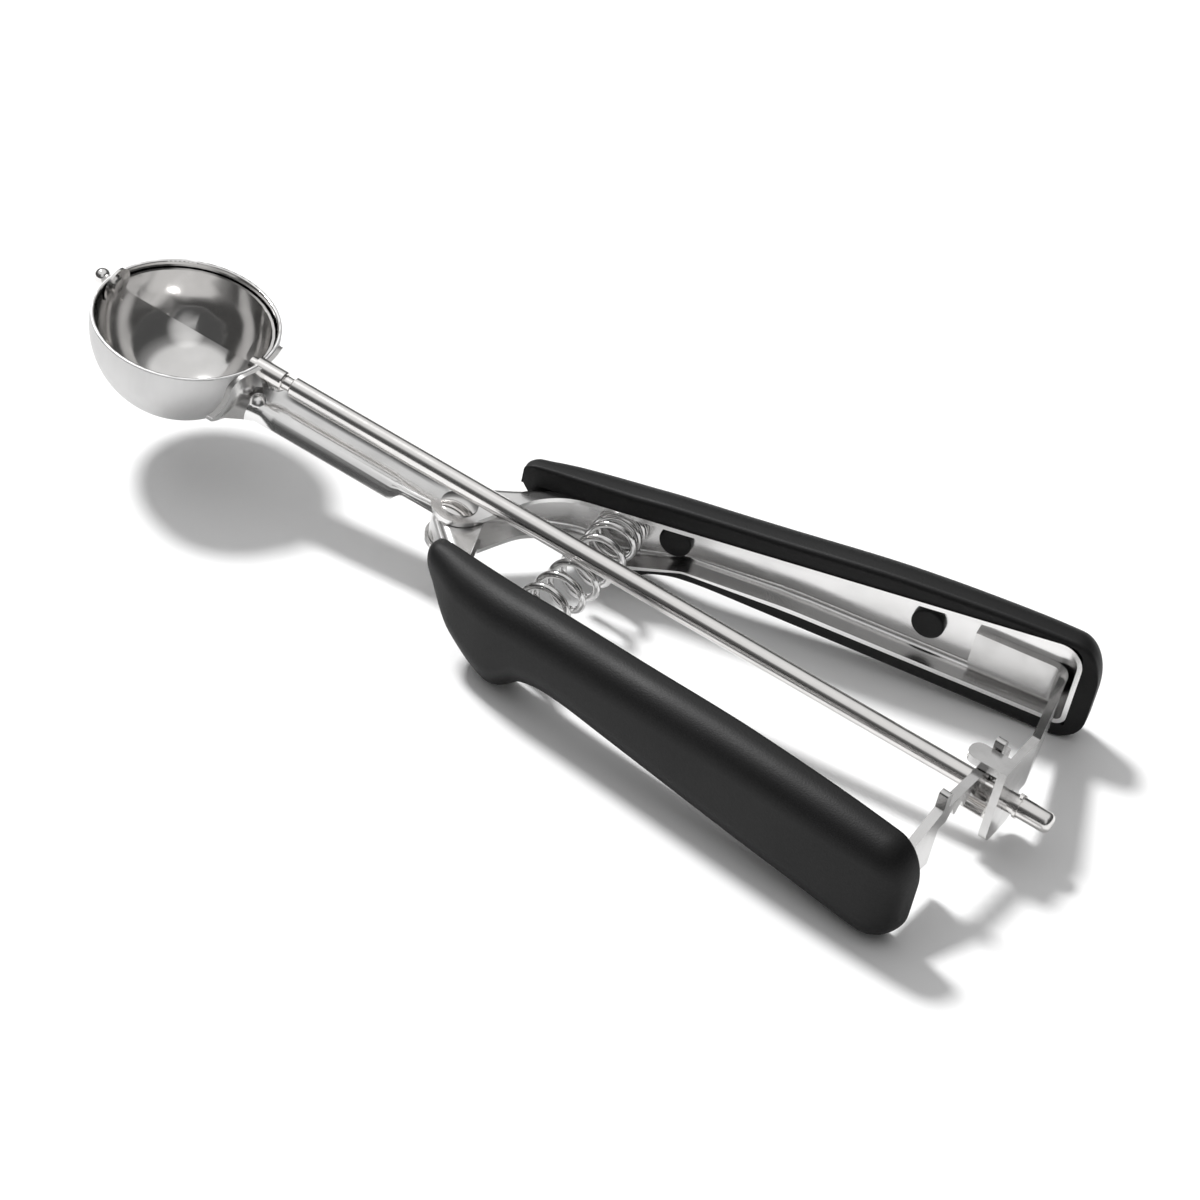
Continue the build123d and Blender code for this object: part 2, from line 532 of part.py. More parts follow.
def neck():
    """Inverted trough from the bowl to the ears, with the saddle that wraps the back of the bowl."""
    wide = NECK_HALF_W + NECK_FLARE
    start_x = BOWL_OUTER_R / 2
    flare_x = BOWL_OUTER_R + NECK_FLARE
    corners = [(start_x, wide), (flare_x, NECK_HALF_W), (PIVOT_X, NECK_HALF_W)]
    edge = FilletPolyline(*corners, radius=NECK_FLARE_R)
    plan = make_face([
        Line((start_x, -wide), (start_x, wide)),
        edge,
        Line((PIVOT_X, NECK_HALF_W), (PIVOT_X, -NECK_HALF_W)),
        mirror(edge, about=Plane.XZ),
    ])
    wall_z = EAR_TOP_Z - NECK_WALL_H
    drop_x = NECK_OPEN_X - NECK_DROP_LENGTH
    low = [(start_x, SADDLE_LOW_Z), (flare_x, wall_z), (drop_x, wall_z), (NECK_OPEN_X, EAR_LOW_Z)]
    side = make_face([
        FilletPolyline(*low, (PIVOT_X, EAR_LOW_Z), radius=[NECK_FLARE_R, NECK_DROP_R, NECK_DROP_R]),
        Line((PIVOT_X, EAR_LOW_Z), (PIVOT_X, EAR_TOP_Z)),
        Line((PIVOT_X, EAR_TOP_Z), (start_x, EAR_TOP_Z)),
        Line((start_x, EAR_TOP_Z), low[0]),
    ])
    block = prism(plan, side)
    top_edges = block.edges().group_by(Axis.Z)[-1].filter_by(lambda e: abs(e.tangent_at(0.5).X) > 0.5)
    block = fillet(top_edges, NECK_ROUND)
    hollow_plan = offset(plan, -STEEL_T) + Pos((start_x + PIVOT_X) / 2, 0) * Rectangle(
        PIVOT_X - start_x + OVERRUN * 2, (NECK_HALF_W - STEEL_T) * 2)
    hollow = extrude(Pos(0, 0, EAR_TOP_Z - STEEL_T) * hollow_plan, -EAR_SPAN * 2)
    hollow_edges = hollow.edges().group_by(Axis.Z)[-1].filter_by(lambda e: abs(e.tangent_at(0.5).X) > 0.5)
    trough = block - fillet(hollow_edges, NECK_ROUND - STEEL_T)
    open_length = PIVOT_X - NECK_OPEN_X + OVERRUN
    opening = Box(open_length, NECK_HALF_W + OVERRUN, EAR_SPAN, align=(Align.MIN, Align.MAX, Align.MAX))
    trough -= Pos(NECK_OPEN_X, 0, EAR_TOP_Z - STEEL_T) * opening
    drop_at = (Align.MAX, Align.MAX, Align.MAX)
    drop = Box(NECK_OPEN_X - flare_x, NECK_HALF_W + OVERRUN, EAR_SPAN, align=drop_at)
    trough -= Pos(NECK_OPEN_X, 0, wall_z) * drop
    notch = Plane.XZ * Cylinder(NECK_NOTCH_R, NECK_HALF_W + OVERRUN, align=ON_BASE)
    trough -= Pos(NECK_OPEN_X, 0, wall_z) * notch
    far = Box(open_length, NECK_HALF_W + OVERRUN, EAR_SPAN, align=(Align.MIN, Align.MIN, Align.MAX))
    trough -= Pos(NECK_OPEN_X + STEEL_T * 2, 0, EAR_TOP_Z - STEEL_T) * far
    patch = RectangleRounded(SADDLE_HALF_W * 2, SADDLE_HIGH_Z - SADDLE_LOW_Z, SADDLE_ROUND)
    patch = Plane.YZ * Pos(0, (SADDLE_HIGH_Z + SADDLE_LOW_Z) / 2) * patch
    saddle = Sphere(BOWL_OUTER_R + STEEL_T) & extrude(patch, BOWL_OUTER_R + OVERRUN)
    seat = Sphere(BOWL_OUTER_R + PRESS_PLAY) + Cylinder(
        BOWL_OUTER_R + PRESS_PLAY, RIM_RISE + OVERRUN, align=ON_BASE)
    bore = along_rod(BUSH_D / 2 + PRESS_PLAY, 0, BUSH_END_X + OVERRUN)
    for side in (-NECK_BUMP_Y, NECK_BUMP_Y):
        bump_z = EAR_TOP_Z + NECK_BUMP_RISE - NECK_BUMP_R
        trough += Pos(BOWL_OUTER_R + NECK_BUMP_R, side, bump_z) * Sphere(NECK_BUMP_R)
    return trough + saddle - seat - bore


def fixed_arm():
    """One stamping: saddle, neck, two pivot ears and the fixed handle's channel."""
    ears = upright(EAR_R, EAR_LOW_Z, EAR_TOP_Z)
    side = channel_side(EAR_TOP_Z, EAR_LOW_Z)
    hollow = prism(offset(open_plan(fixed_web(), -EAR_R * 2), -STEEL_T), offset(side, -STEEL_T))
    hollow = round_web(hollow, CHANNEL_ROUND - STEEL_T)
    channel = round_web(fixed_block(), CHANNEL_ROUND) + ears - hollow
    arm = on_fixed(finish_web(channel, fixed_block())) + neck()
    return arm - Pos(PIVOT_X, 0, 0) * upright(RIVET_R + PRESS_PLAY, EAR_LOW_Z - OVERRUN, EAR_TOP_Z + OVERRUN)


def lever_arm():
    """The lever's channel, whose round nose turns on the rivet between the ears."""
    gap = STEEL_T + NOSE_GAP
    nose_low, nose_top = EAR_LOW_Z + gap, EAR_TOP_Z - gap
    nose = upright(NOSE_R, nose_low, nose_top)
    inside = upright(NOSE_R - STEEL_T, nose_low + STEEL_T, nose_top - STEEL_T)
    plan = open_plan(lever_web(), lever_web()[0][0])
    hollow = prism(offset(plan, -STEEL_T), offset(lever_sides(), -STEEL_T))
    hollow = round_web(hollow, CHANNEL_ROUND - STEEL_T)
    arm = finish_web(round_web(lever_block(), CHANNEL_ROUND) + nose - hollow - inside, lever_block())
    return on_lever(arm - upright(RIVET_R + PIN_PLAY, nose_low - OVERRUN, nose_top + OVERRUN))


def pivot_rivet():
    """Rivet with a domed head above the upper ear and a flat one under the lower."""
    shank = upright(RIVET_R, EAR_LOW_Z - RIVET_HEAD_T, EAR_TOP_Z)
    low_head = upright(RIVET_HEAD_R, EAR_LOW_Z - RIVET_HEAD_T, EAR_LOW_Z)
    dome = Pos(0, 0, EAR_TOP_Z + RIVET_HEAD_T - RIVET_DOME_R) * Sphere(RIVET_DOME_R)
    head = dome & upright(RIVET_HEAD_R, EAR_TOP_Z, EAR_TOP_Z + RIVET_HEAD_T)
    return Pos(PIVOT_X, 0, 0) * (shank + low_head + head)


def grip_section(length_share, top_share, low_share, depth_share, round_share):
    """One cross-section of a grip: flat towards the other handle, round at the back."""
    top, low = top_share * GRIP_HEIGHT, low_share * GRIP_HEIGHT
    inner, outer = GRIP_INNER_V, GRIP_INNER_V + depth_share * GRIP_DEPTH
    edge, under, back = [r * round_share for r in (GRIP_EDGE_R, GRIP_UNDER_R, GRIP_BACK_R)]
    u = GRIP_FRONT_U + length_share * GRIP_LENGTH
    plane = Plane(origin=(u, 0, 0), x_dir=(0, 1, 0), z_dir=(1, 0, 0))
    corners = [(inner, low), (outer, low), (outer, top), (inner, top)]
    return plane * make_face(FilletPolyline(*corners, radius=[edge, under, back, edge], close=True))


def grip(block):
    """Moulded grip round the back of a channel, held by two headed pegs through the web."""
    body = loft([grip_section(*row) for row in GRIP_SHARES]) - block - Pos(0, SEAT_GAP, 0) * block
    for share in PEG_SHARES:
        u = share * CHANNEL_LENGTH
        z = channel_mid(u)
        body += across_web(PEG_R, u, z, WEB_INNER_V - PEG_HEAD_T, WEB_V + STEEL_T)
        body += across_web(PEG_HEAD_R, u, z, WEB_INNER_V - PEG_HEAD_T, WEB_INNER_V)
    return body


def biarc(p0, t0, p1, t1):
    """Two tangent arcs from one point and direction to another."""
    span = p1 - p0
    blend = 2 * (1 - t0.dot(t1))
    along = span.dot(t0 + t1)
    reach = (sqrt(along ** 2 + blend * span.dot(span)) - along) / blend
    joint = (p0 + t0 * reach + p1 - t1 * reach) * 0.5
    first = TangentArc(p0, joint, tangent=t0)
    return [first, TangentArc(joint, p1, tangent=first % 1)]


def spring_point(turn):
    """Point of the spring's wire after a number of turns; its axis bows so that both ends sit square."""
    end_v = WEB_INNER_V - SPRING_WIRE / 2 - SPRING_SEAT_GAP
    end = handle_point(SPRING_U, end_v, HANDLE_ANGLE)
    bow_r = end.Y / sin(radians(HANDLE_ANGLE))
    length = 2 * bow_r * radians(HANDLE_ANGLE)
    turns = 2 * SPRING_END_TURNS + SPRING_OPEN_TURNS
    pitch = (length - 2 * SPRING_END_TURNS * SPRING_END_PITCH) / SPRING_OPEN_TURNS
    first, last = min(turn, SPRING_END_TURNS), max(0, turn - turns + SPRING_END_TURNS)
    travel = (first + last) * SPRING_END_PITCH + (turn - first - last) * pitch
    angle = radians(HANDLE_ANGLE) - travel / bow_r
    radial = bow_r + SPRING_MEAN_R * cos(2 * pi * turn)
    centre_x = end.X - bow_r * cos(radians(HANDLE_ANGLE))
    z = SPRING_Z + SPRING_MEAN_R * sin(2 * pi * turn)
    return Vector(centre_x + radial * cos(angle), radial * sin(angle), z)


def spring_tangent(turn):
    """Direction of the spring's wire after a number of turns."""
    return (spring_point(turn + TURN_STEP) - spring_point(turn - TURN_STEP)).normalized()


def return_spring():
    """Compression spring between the two webs, close-wound at its ends."""
    turns = 2 * SPRING_END_TURNS + SPRING_OPEN_TURNS
    arcs = []
    for i in range(turns * ARCS_PER_TURN):
        a, b = i / ARCS_PER_TURN, (i + 1) / ARCS_PER_TURN
        arcs += biarc(spring_point(a), spring_tangent(a), spring_point(b), spring_tangent(b))
    path = Wire(arcs)
    places = [spring_point(i / GAP_STEPS) for i in range(turns * GAP_STEPS + 1)]
    gap = min((p - q).length for i, p in enumerate(places) for q in places[i + GAP_STEPS // 2:])
    print("spring: least gap to itself %.2f mm" % (gap - SPRING_WIRE))
    start = Plane(origin=path @ 0, z_dir=path % 0)
    return sweep(start * Circle(SPRING_WIRE / 2), path=path)


def lowest(shape, x_low, x_high):
    """Lowest height of a shape between two places along the rod."""
    size = CHANNEL_LENGTH * 4
    slab = Box(x_high - x_low, size, size, align=(Align.MIN, Align.CENTER, Align.CENTER))
    return (shape & Pos(x_low, 0, 0) * slab).bounding_box().min.Z


def rest_tilt(grip_solid):
    """Angle about Y that brings both low points of the grips to one height."""
    tilt = 0.0
    middle = PIVOT_X + GRIP_FRONT_U + GRIP_LENGTH / 2
    for _ in range(REST_ROUNDS):
        turned = Pos(middle, 0, 0) * Rot(0, tilt, 0) * Pos(-middle, 0, 0) * grip_solid
        front, rear = lowest(turned, PIVOT_X, middle), lowest(turned, middle, middle + GRIP_LENGTH)
        tilt += degrees(atan2(rear - front, GRIP_LENGTH * REST_SHARE))
    return tilt


def main():
    fixed, lever = fixed_block(), lever_block()
    nodes = {
        "bowl": bowl(),
        "fixed_arm": fixed_arm(),
        "rod_bush": rod_bush(),
        "fixed_grip": on_fixed(grip(fixed)),
        "guide_bracket": guide_bracket(),
        "pivot_rivet": pivot_rivet(),
        "return_spring": return_spring(),
        "lever_arm": lever_arm(),
        "lever_grip": on_lever(grip(lever)),
        "lever_rack": lever_rack(),
        "scraper_rod": scraper_rod(),
        "pinion": pinion(),
        "rod_clip": rod_clip(),
        "scraper_blade": scraper_blade(),
        "scraper_stud": scraper_stud(),
    }
    tilt = rest_tilt(nodes["fixed_grip"])
    turn = Rot(0, tilt, 0)
    box = Compound([solid for node in nodes.values() for solid in (turn * node).solids()]).bounding_box()
    place = Pos(-(box.min.X + box.max.X) / 2, -(box.min.Y + box.max.Y) / 2, -box.min.Z) * turn
    os.makedirs("parts", exist_ok=True)
    for name, node in nodes.items():
        export_step(place * node, "parts/%s.step" % name)
    print("size", box.size)
    print("tilt %.3f, lever travel %.4f" % (tilt, LEVER_TRAVEL))
    print("pivot", (place * Pos(PIVOT_X, 0, EAR_TOP_Z)).position, "rod", (place * Pos(0, 0, 0)).position)


main()
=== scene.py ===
"""Cookie scoop: finishes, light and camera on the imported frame.

Lengths in the tables are millimetres in the tool frame: X along the scraper rod from the bowl's
centre, Y towards the fixed handle, Z out of the bowl. The tool frame is read from the two joints, so
every piece lands where the solids are. A place on a handle is given along it from the pivot, across
it away from the rod, and up.
"""
import json
from math import cos, pi, radians, sin

import bmesh
import bpy
from mathutils import Euler, Matrix, Vector


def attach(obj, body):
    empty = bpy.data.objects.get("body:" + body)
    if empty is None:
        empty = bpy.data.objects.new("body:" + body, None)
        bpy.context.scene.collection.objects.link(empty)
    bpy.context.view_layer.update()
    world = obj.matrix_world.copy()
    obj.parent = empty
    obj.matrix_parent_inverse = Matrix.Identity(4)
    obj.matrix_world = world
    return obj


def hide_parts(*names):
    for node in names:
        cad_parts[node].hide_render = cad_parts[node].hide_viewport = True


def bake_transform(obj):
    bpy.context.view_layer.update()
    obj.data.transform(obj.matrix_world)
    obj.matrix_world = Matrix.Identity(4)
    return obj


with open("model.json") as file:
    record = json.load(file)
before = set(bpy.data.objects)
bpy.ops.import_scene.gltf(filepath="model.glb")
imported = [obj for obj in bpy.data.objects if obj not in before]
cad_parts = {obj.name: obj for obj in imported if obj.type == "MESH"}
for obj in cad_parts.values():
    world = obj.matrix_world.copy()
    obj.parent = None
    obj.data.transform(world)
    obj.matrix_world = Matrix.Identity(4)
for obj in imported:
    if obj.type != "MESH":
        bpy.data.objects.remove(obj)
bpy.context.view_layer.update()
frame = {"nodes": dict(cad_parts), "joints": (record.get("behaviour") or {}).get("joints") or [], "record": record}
MM = 0.001

# Rod and bush
JOURNAL_START = 15.15
JOURNAL_R = 1.3
SHOULDER_X = 24.5
SHOULDER_CHAMFER = 0.3
ROD_R = 1.9
GROOVE = (177.5, 178.1, 1.6)      # start, end and radius of the clip's groove
ROD_TIP_X = 184.3
ROD_TIP_ROUND = 1.2
BUSH_START, BUSH_END = 16.6, 22.7
BUSH_OUTER_R, BUSH_BORE_R = 1.875, 1.35
BUSH_EDGE = 0.18                  # chamfer on the bush's rear edge

# Return spring
SPRING_SEAT = (26.0, 15.58, -8.1)  # along, across and up, where the end coil's middle lies on a handle
SPRING_WIRE_R = 0.7
SPRING_MEAN_R = 4.2
SPRING_END_TURNS = 2
SPRING_OPEN_TURNS = 7
SPRING_END_PITCH = 2.0
SPRING_STEPS = 64                 # points in a turn
SPRING_SIDES = 20                 # corners round the wire

# Handle channels: heights and widths against the place along the handle
PIVOT_X = 62.3
LEAN = radians(9.5)               # angle from the rod to each handle
CHANNEL_LENGTH = 113.0
CHANNEL_TOP = ((8.0, -4.5), (113.0, 11.0))
CHANNEL_LOW = ((8.0, -12.9), (26.55, -15.17), (39.55, -10.97), (59.89, -8.03), (113.0, -7.0))
FLANGE_LIFT = (0.0, 0.0, 1.5, 0.0, 0.0)  # how far the low flange is lifted at the same places
LIFTED_LOW = tuple((place, low + lift) for (place, low), lift in zip(CHANNEL_LOW, FLANGE_LIFT))
LIFT_INSIDE = 11.0                # what stands less far across than this isn't lifted
CHANNEL_WEB = ((0.0, 6.5), (18.0, 17.3), (113.0, 17.3))
CHANNEL_END_R = 4.4
WEB_INSIDE = 16.4                 # inner face of the web, across

# Grips and their pegs
GRIP_START, GRIP_END = 6.5, 116.4
GRIP_INSIDE = 12.4                # inner face of the grip, across
GRIP_RADII = (1.0, 5.6, 6.8, 1.0)  # inner top, back top, back underside and inner underside
CORNER_SHARE = 0.98               # most of the depth that two corner radii may take
SIDE_SHARE = 0.49                 # most of the height that one corner radius may take
LEAST_R = 0.02
GRIP_CLEAR = 0.04                 # gap between channel and pocket
GRIP_LIP = 0.25                   # least rim over the pocket
GRIP_RIM = 0.3                    # the rim under the pocket fades out below this height
GRIP_FRONT = (2.0, 0.60)          # length of the rounded end, and the share of the section at its tip
GRIP_REAR = (6.0, 0.34)
GRIP_BELLY = 0.42                 # height of the rounded ends' middle, as a share of the section
GRIP_ROWS = (                     # place along the handle, top, underside and depth
    (6.5, -0.6, -4.7, 3.5),
    (9.8, 0.1, -8.3, 4.9),
    (17.4, 1.0, -15.3, 7.1),
    (27.2, 2.2, -18.5, 8.05),
    (33.7, 3.3, -13.45, 8.0),
    (39.5, 4.1, -11.65, 8.0),
    (45.7, 4.9, -11.2, 8.0),
    (53.3, 5.9, -11.1, 8.05),
    (80.5, 9.5, -10.7, 8.15),
    (104.4, 11.2, -10.5, 7.65),
    (116.4, 11.5, -10.5, 6.7),
)
PEGS = (36.16, 84.185)            # places along the handle
PEG_R, PEG_HEAD_R, PEG_HEAD_T, PEG_ROUND = 2.3, 3.1, 1.2, 0.45

# Neck of the fixed arm
NECK_TOP_Z, NECK_HALF_W, NECK_ROUND, NECK_WALL_H = -4.5, 5.0, 2.2, 3.1
NECK_FLAT = 0.6                   # half width of the flat that stays on the neck
NECK_ROLL_IN = (21.5, 22.5, 23.5, 24.5)  # cuts across the neck where the roll fades in
NECK_ROLL_OUT = (50.0, 51.5, 53.0)  # and where it fades out
NECK_ROLL_R = 4.73                # radius of the rolled shoulder
NECK_SKIRT = 0.9                  # height of the upright edge that the roll takes up
NECK_EDGE = 0.05                  # least height left of that edge

# Modelling detail
GRIP_STATIONS = 120
CORNER_STEPS = 14
END_STEPS = 14
ROUND_SIDES = 160
PEG_SIDES = 48
ROLL_STEPS = 14
FILLET_STEPS = 6
MERGE_GAP = 0.0000012             # metres
SHARP_ANGLE = 32
GRIP_SHARP_ANGLE = 50
TRUE_MATCH = 0.9                  # a normal this close to the bowl's true direction is set to it
SADDLE_END_X = 18.6               # faces before this belong to the saddle
EDGE_SLANT = 0.5                  # faces this square to the bowl's radius are the sheet's cut edge

# Camera, in the tool frame
CAMERA_PLACE = (322.837, -506.553, 480.376)
CAMERA_TURN = (47.9326, -10.148, 33.4093)
CAMERA_LENS = 126.0
SENSOR = 36.0
CLIP_NEAR, CLIP_FAR = 0.01, 20.0

# Studio, in metres
FLOOR_HALF = 3.0
FLOOR_TONE = (0.93, 0.93, 0.93, 1.0)
FLOOR_ROUGHNESS = 0.9
KEY_DIRECTION = (-0.567, 0.195, 0.80)
KEY_DISTANCE = 3.0
KEY_SIZE = 0.55
KEY_POWER = 88.0
# A wide soft panel overhead and a fill card behind the camera: brightness against closeness to the middle
PANEL_DIRECTION = (-0.20, 0.12, 0.97)
PANEL = ((0.0, 0.08), (0.50, 0.08), (0.68, 0.28), (0.77, 0.78), (1.0, 0.84))
FILL_DIRECTION = (0.42, -0.62, 0.66)
FILL = ((0.0, 0.0), (0.90, 0.0), (0.97, 0.48), (1.0, 0.58))

# Sockets of the Mix node that carry colours
MIX_FACTOR, MIX_FIRST, MIX_SECOND, MIX_RESULT = 0, 6, 7, 2
NEW_STOP = 0.5                    # where a colour ramp's new stop starts out


def tool_frame():
    """The tool frame's matrix: the rod's joint gives the origin and X, the lever's joint gives Z."""
    joints = {joint["name"]: joint for joint in frame["joints"]}
    along = Vector(joints["scraper_turn"]["axis"]).normalized()
    up = Vector(joints["lever_squeeze"]["axis"]).normalized()
    across = up.cross(along)
    turn = Matrix((along, across, up)).transposed().to_4x4()
    return Matrix.Translation(joints["scraper_turn"]["pos_m"]) @ turn


TOOL = tool_frame()


class Value:
    """A number's socket in a node tree; arithmetic on it adds Math nodes."""

    def __init__(self, tree, socket):
        self.tree, self.socket = tree, socket

    def math(self, operation, first, second=0.0):
        return self.tree.value("ShaderNodeMath", {"operation": operation}, {0: first, 1: second})

    def __add__(self, other):
        return self.math("ADD", self, other)

    def __radd__(self, other):
        return self.math("ADD", other, self)

    def __sub__(self, other):
        return self.math("SUBTRACT", self, other)

    def __mul__(self, other):
        return self.math("MULTIPLY", self, other)

    def __truediv__(self, other):
        return self.math("DIVIDE", self, other)

    def least(self, other):
        return self.math("MINIMUM", self, other)

    def most(self, other):
        return self.math("MAXIMUM", self, other)

    def sine(self):
        return self.math("SINE", self)

    def cosine(self):
        return self.math("COSINE", self)


class Tree:
    """A node tree with one method that adds any node."""

    def __init__(self, tree):
        self.tree = tree

    def node(self, kind, settings=None, inputs=None):
        """Add a node; an input is a plain value, a socket or a Value, and stops fill a colour ramp."""
        made = self.tree.nodes.new(kind)
        for name, setting in (settings or {}).items():
            if name == "stops":
                ramp = made.color_ramp.elements
                while len(ramp) < len(setting):
                    ramp.new(NEW_STOP)
                for element, (place, shade) in zip(ramp, setting):
                    element.position = place
                    element.color = (shade, shade, shade, 1.0)
            else:
                setattr(made, name, setting)
        for name, given in (inputs or {}).items():
            if isinstance(given, Value):
                given = given.socket
            if isinstance(given, bpy.types.NodeSocket):
                self.tree.links.new(given, made.inputs[name])
            else:
                made.inputs[name].default_value = given
        return made

    def value(self, kind, settings=None, inputs=None):
        """Add a node and give its first output as a Value."""
        return Value(self, self.node(kind, settings, inputs).outputs[0])


class Finish(Tree):
    """A material under construction, with the usual patterns on Object coordinates."""

    def __init__(self, name):
        self.material = bpy.data.materials.new(name)
        self.material.use_nodes = True
        super().__init__(self.material.node_tree)
        self.tree.nodes.clear()
        self.place = self.node("ShaderNodeTexCoord").outputs["Object"]

    def turned_place(self, stretch):
        """Object coordinates turned to the tool frame and stretched along its axes."""
        turn = TOOL.inverted().to_euler()
        turned = self.node("ShaderNodeMapping", {"vector_type": "POINT"},
                           {"Vector": self.place, "Rotation": tuple(turn)})
        scaled = self.node("ShaderNodeMapping", {"vector_type": "POINT"},
                           {"Vector": turned.outputs[0], "Scale": stretch})
        return scaled.outputs[0]

    def noise(self, scale, detail=2.0, roughness=0.5, stretch=None):
        """Noise in the piece's own coordinates, drawn out along the tool's axes by a stretch."""
        place = self.turned_place(stretch) if stretch else self.place
        return self.value("ShaderNodeTexNoise", {"noise_dimensions": "3D"},
                          {"Vector": place, "Scale": scale, "Detail": detail, "Roughness": roughness})

    def band(self, value, low, high):
        """Map a value's range smoothly to 0 and 1."""
        return self.value("ShaderNodeMapRange", {"interpolation_type": "SMOOTHSTEP"},
                          {"Value": value, "From Min": low, "From Max": high})

    def blend_colours(self, factor, first, second):
        mix = self.node("ShaderNodeMix", {"data_type": "RGBA"},
                        {MIX_FACTOR: factor, MIX_FIRST: (*first, 1.0), MIX_SECOND: (*second, 1.0)})
        return mix.outputs[MIX_RESULT]

    def bump(self, height, strength, distance, below=None):
        """Relief of a height pattern, over the relief below it where there is one."""
        inputs = {"Height": height, "Strength": strength, "Distance": distance}
        if below is not None:
            inputs["Normal"] = below
        return self.node("ShaderNodeBump", None, inputs).outputs["Normal"]

    def surface(self, inputs):
        shader = self.node("ShaderNodeBsdfPrincipled", None, inputs)
        self.node("ShaderNodeOutputMaterial", None, {"Surface": shader.outputs["BSDF"]})
        return self.material

    def metal(self, tone, roughness, normal):
        return self.surface({"Base Color": tone, "Metallic": 1.0, "Roughness": roughness, "Normal": normal})


def polished_steel():
    """Mirror-polished stainless steel with soft smears and faint polishing lines."""
    steel = Finish("polished_stainless_steel")
    smears = steel.band(steel.noise(scale=90.0, detail=3.0, roughness=0.6), low=0.42, high=0.70)
    lines = steel.noise(scale=900.0, stretch=(0.12, 1.0, 1.0))
    roughness = 0.07 + smears * 0.05 + lines * 0.04
    tone = steel.blend_colours(smears, (0.80, 0.79, 0.78), (0.74, 0.73, 0.72))
    normal = steel.bump(lines, strength=0.05, distance=0.00004)
    return steel.metal(tone, roughness, normal)


def brushed_steel():
    """Fine-brushed steel for the outside of the bowl."""
    steel = Finish("brushed_bowl_steel")
    strokes = steel.noise(scale=1400.0, stretch=(1.0, 1.0, 0.06))
    cloud = steel.band(steel.noise(scale=60.0), low=0.35, high=0.70)
    roughness = 0.48 + strokes * 0.12 + cloud * 0.05
    tone = steel.blend_colours(cloud, (0.66, 0.657, 0.655), (0.62, 0.617, 0.615))
    normal = steel.bump(strokes, strength=0.10, distance=0.00004)
    return steel.metal(tone, roughness, normal)


def sheared_steel():
    """Dull grey edge of sheet steel where it was cut."""
    steel = Finish("sheared_steel_edge")
    torn = steel.noise(scale=2600.0, detail=3.0, roughness=0.6)
    roughness = 0.40 + torn * 0.15
    tone = steel.blend_colours(torn, (0.30, 0.295, 0.29), (0.40, 0.395, 0.39))
    normal = steel.bump(torn, strength=0.20, distance=0.00004)
    return steel.metal(tone, roughness, normal)


def pressed_steel():
    """Polished sheet steel after pressing: softer reflections and long drawing lines."""
    steel = Finish("pressed_stainless_steel")
    smears = steel.band(steel.noise(scale=70.0, detail=3.0, roughness=0.6), low=0.40, high=0.70)
    lines = steel.noise(scale=1500.0, stretch=(0.05, 1.0, 1.0))
    roughness = 0.17 + smears * 0.07 + lines * 0.06
    tone = steel.blend_colours(smears, (0.82, 0.815, 0.81), (0.77, 0.765, 0.76))
    normal = steel.bump(lines, strength=0.06, distance=0.00004)
    return steel.metal(tone, roughness, normal)


def turned_steel():
    """Steel turned on a lathe: fine rings round the rod, polished over."""
    steel = Finish("turned_stainless_steel")
    rings = steel.noise(scale=4200.0, roughness=0.6, stretch=(1.0, 0.02, 0.02))
    worn = steel.band(steel.noise(scale=160.0), low=0.4, high=0.7)
    roughness = 0.13 + rings * 0.09 + worn * 0.04
    tone = steel.blend_colours(worn, (0.80, 0.785, 0.77), (0.74, 0.727, 0.715))
    normal = steel.bump(rings, strength=0.10, distance=0.00003)
    return steel.metal(tone, roughness, normal)


def stamped_steel():
    """Stamped sheet steel with a satin, tumbled face."""
    steel = Finish("stamped_stainless_steel")
    grain = steel.noise(scale=3800.0, detail=3.0, roughness=0.65)
    cloud = steel.band(steel.noise(scale=220.0), low=0.35, high=0.7)
    roughness = 0.17 + grain * 0.08 + cloud * 0.05
    tone = steel.blend_colours(cloud, (0.64, 0.635, 0.63), (0.58, 0.575, 0.57))
    normal = steel.bump(grain, strength=0.06, distance=0.00003)
    return steel.metal(tone, roughness, normal)


def spring_wire():
    """Bright drawn wire."""
    steel = Finish("drawn_spring_wire")
    scale = steel.noise(scale=1500.0, detail=3.0, roughness=0.6)
    cloud = steel.band(steel.noise(scale=260.0), low=0.35, high=0.72)
    roughness = 0.05 + scale * 0.05 + cloud * 0.04
    tone = steel.blend_colours(cloud, (0.72, 0.715, 0.71), (0.63, 0.625, 0.62))
    normal = steel.bump(scale, strength=0.08, distance=0.00003)
    return steel.metal(tone, roughness, normal)


def grip_plastic():
    """Matt black moulded plastic with a fine spark-eroded grain."""
    plastic = Finish("matt_black_grip")
    grain = plastic.noise(scale=3200.0, detail=3.0, roughness=0.6)
    pits = plastic.noise(scale=1400.0)
    handled = plastic.band(plastic.noise(scale=45.0), low=0.40, high=0.70)
    roughness = 0.47 + grain * 0.12 - handled * 0.05
    tone = plastic.blend_colours(pits, (0.0042, 0.0042, 0.0044), (0.0078, 0.0078, 0.0080))
    pitted = plastic.bump(pits, strength=0.15, distance=0.0001)
    normal = plastic.bump(grain, strength=0.45, distance=0.00009, below=pitted)
    return plastic.surface({"Base Color": tone, "Roughness": roughness, "Normal": normal,
                            "Specular IOR Level": 0.24})


